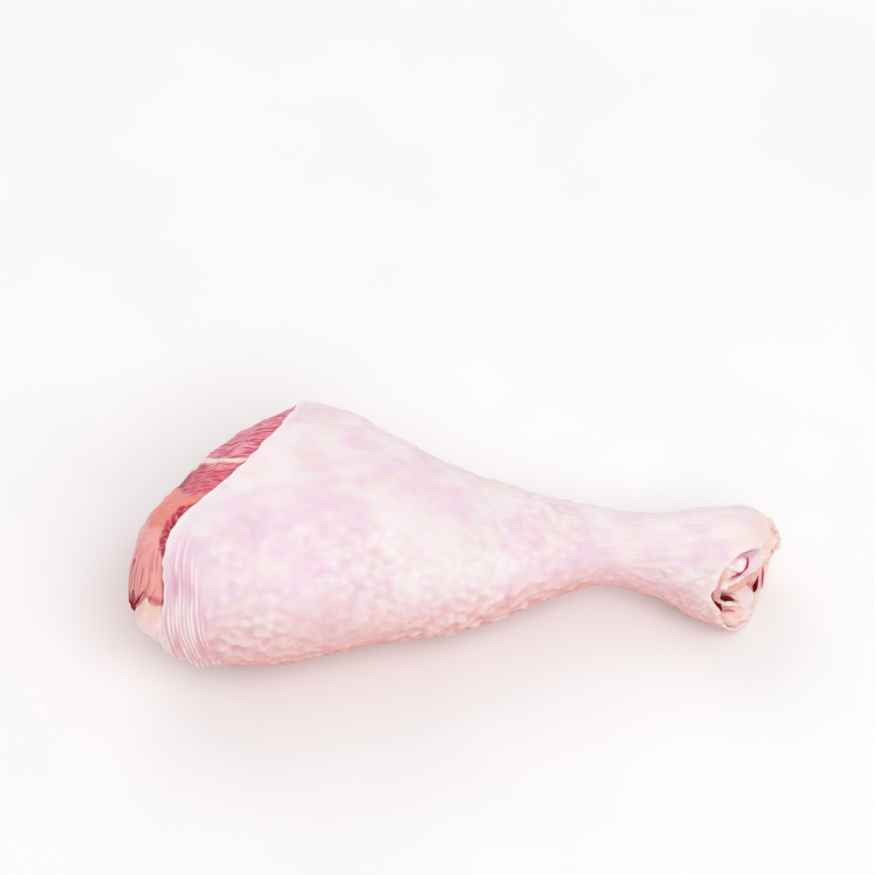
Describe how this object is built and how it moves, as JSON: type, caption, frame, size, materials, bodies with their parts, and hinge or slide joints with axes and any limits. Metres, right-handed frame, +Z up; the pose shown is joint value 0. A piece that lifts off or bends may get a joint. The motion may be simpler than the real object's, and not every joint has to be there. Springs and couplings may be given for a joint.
{
  "type": "turkey drumstick",
  "caption": "Raw turkey drumstick lying on its side: pale dimpled skin round bare meat at the knee end, with the bone's cartilage ends and cut tendons showing at the hock.",
  "frame": {"origin": "middle of the drumstick's outline on the table it rests on", "axes": "+X from the knee end to the hock, +Y towards the shin side and +Z up from the table"},
  "size_m": [0.2202, 0.0956, 0.0673],
  "materials": {
    "skin": "pale pinkish-white raw skin, damp, with raised follicle bumps",
    "meat": "raw pink to dark red muscle with peach and cream membrane, wet",
    "bone": "pearly pinkish-white cartilage",
    "fat": "cream-pink soft fat",
    "tendon": "shiny white tendon"
  },
  "bodies": {
    "root": {"skin": "skin", "meat": "meat", "leg_bone": "bone", "knee_fat": "fat", "tendon_1": "tendon", "tendon_2": "tendon", "tendon_3": "tendon"}
  },
  "joints": []
}
